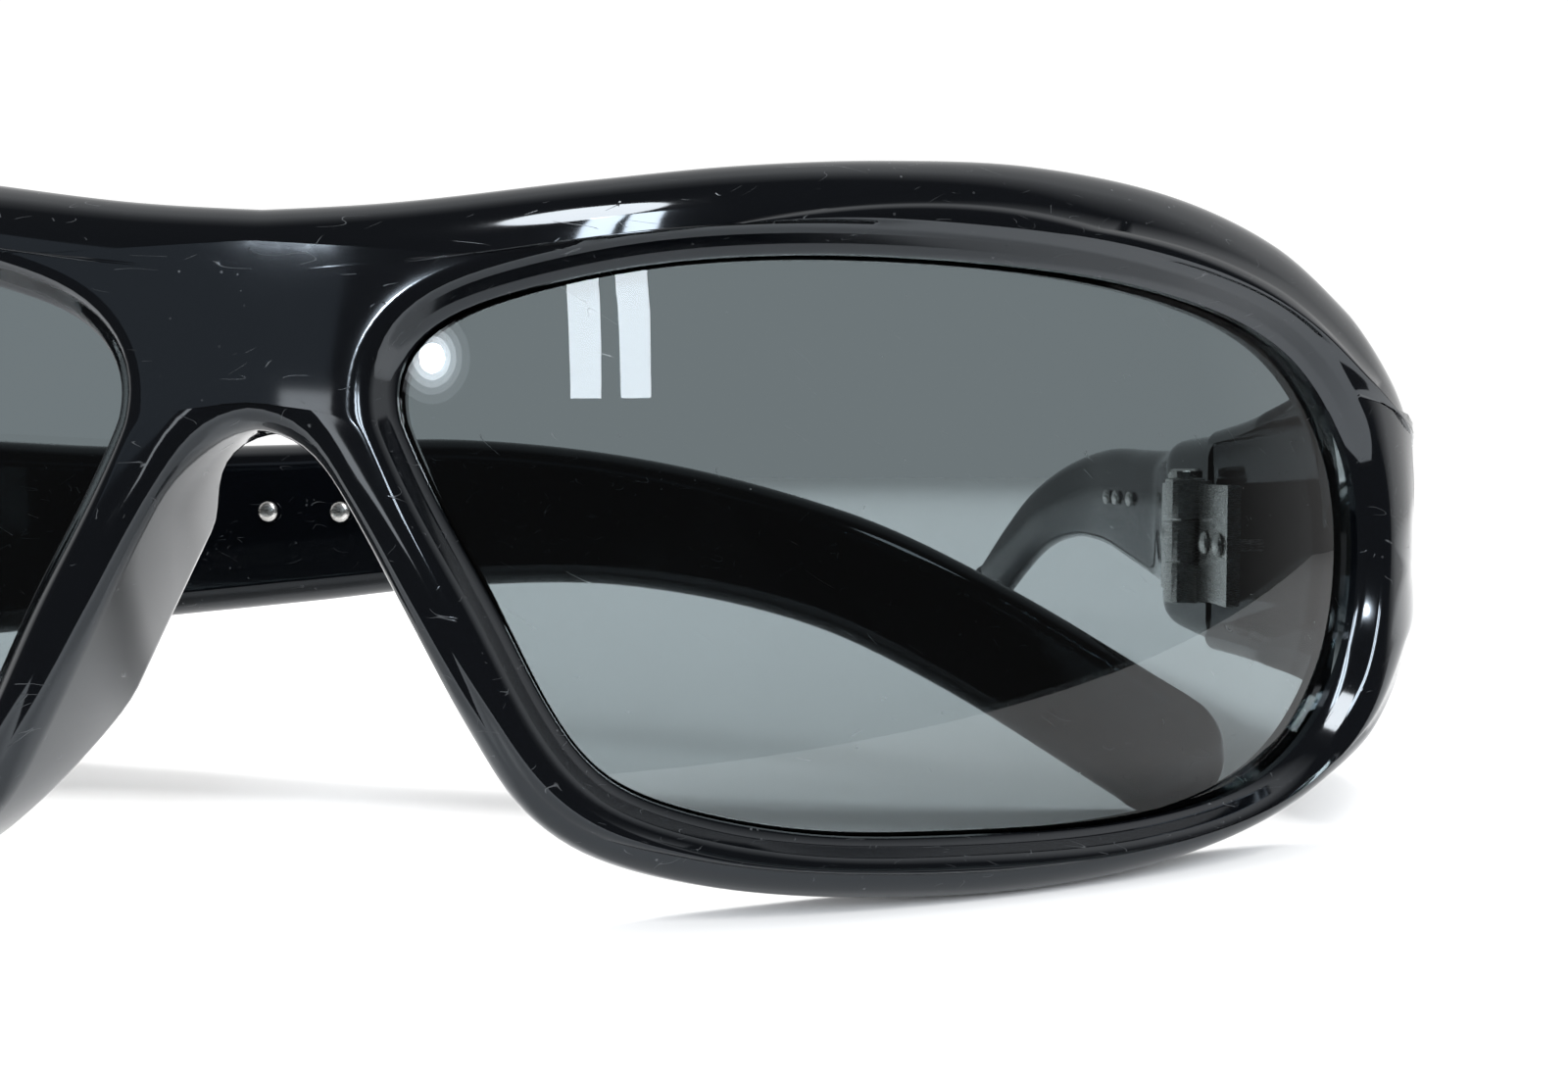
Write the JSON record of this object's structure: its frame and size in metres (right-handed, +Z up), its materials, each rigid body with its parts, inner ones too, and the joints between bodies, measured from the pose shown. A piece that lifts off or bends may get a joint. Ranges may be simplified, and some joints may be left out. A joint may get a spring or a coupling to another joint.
{
  "type": "wraparound sport sunglasses",
  "caption": "One-piece gloss black wraparound front with inset smoke lenses, moulded nose pads, and folding arms on riveted steel hinges",
  "frame": {"origin": "on the table, under the centre of the bounding box", "axes": "+Z up from the table, -Y the way the lenses face, +X towards the wearer's left"},
  "size_m": [0.1446, 0.1639, 0.0417],
  "materials": {
    "frame": "polished black moulded nylon with fine handling scratches",
    "lens": "polished smoke grey lens",
    "hardware": "nickel-plated steel"
  },
  "bodies": {
    "front": {"front_frame": "frame", "lens_left": "lens", "lens_right": "lens", "front_hinge_left": "hardware", "front_hinge_right": "hardware", "hinge_screw_left": "hardware", "hinge_screw_right": "hardware", "front_hinge_rivet_left_1": "hardware", "front_hinge_rivet_left_2": "hardware", "front_hinge_rivet_right_1": "hardware", "front_hinge_rivet_right_2": "hardware"},
    "arm_left": {"temple_left": "frame", "temple_hinge_left": "hardware", "temple_hinge_rivet_left_1": "hardware", "temple_hinge_rivet_left_2": "hardware", "temple_stud_left_1": "hardware", "temple_stud_left_2": "hardware", "temple_stud_left_3": "hardware"},
    "arm_right": {"temple_right": "frame", "temple_hinge_right": "hardware", "temple_hinge_rivet_right_1": "hardware", "temple_hinge_rivet_right_2": "hardware", "temple_stud_right_1": "hardware", "temple_stud_right_2": "hardware", "temple_stud_right_3": "hardware"}
  },
  "joints": [
    {"name": "left_arm_fold", "type": "hinge", "parent": "front", "child": "arm_left", "pos_m": [0.0596, -0.0363, 0.01829], "axis": [0, 0, 1], "range_deg": [0, 83]},
    {"name": "right_arm_fold", "type": "hinge", "parent": "front", "child": "arm_right", "pos_m": [-0.0596, -0.0363, 0.01829], "axis": [0, 0, 1], "range_deg": [0, 99]}
  ]
}
